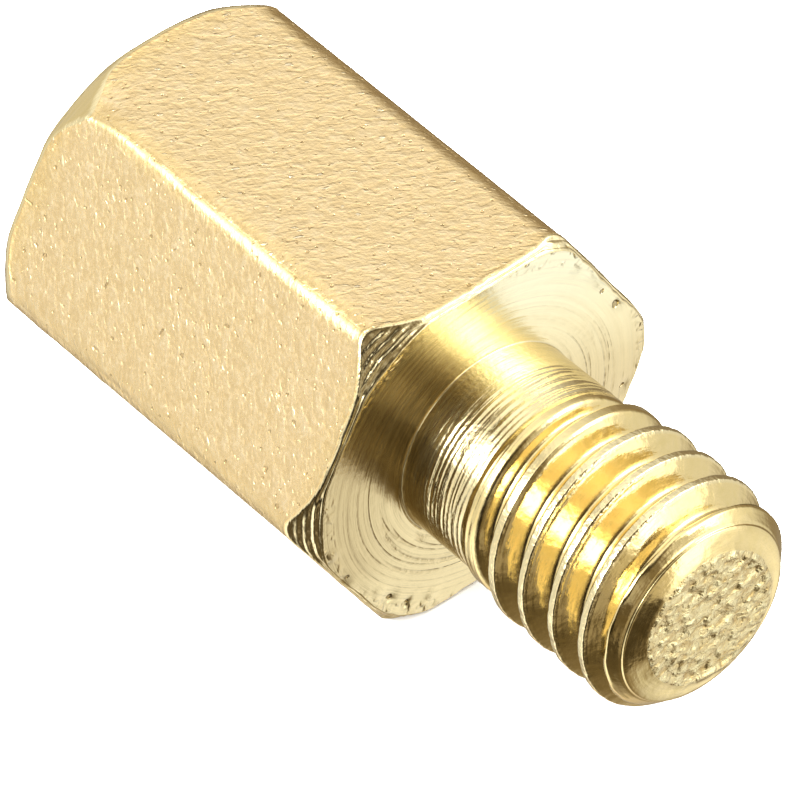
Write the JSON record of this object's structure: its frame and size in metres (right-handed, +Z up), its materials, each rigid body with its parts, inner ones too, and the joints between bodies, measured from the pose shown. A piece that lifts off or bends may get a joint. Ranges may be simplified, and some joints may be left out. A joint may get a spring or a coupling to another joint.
{
  "type": "hex standoff",
  "caption": "Short brass hexagonal spacer with a threaded stud on one end and a tapped hole in the other, for holding a board off a panel.",
  "frame": {"origin": "on the surface that it lies on, under the middle of its whole length", "axes": "+X along the standoff's axis towards the stud, +Z up out of the top flat"},
  "size_m": [0.0084, 0.0046, 0.004],
  "materials": {
    "brass": "bright drawn flats with a fine grain, turned ends and rolled thread, unplated"
  },
  "bodies": {
    "root": {"hex_standoff": "brass"}
  },
  "joints": []
}
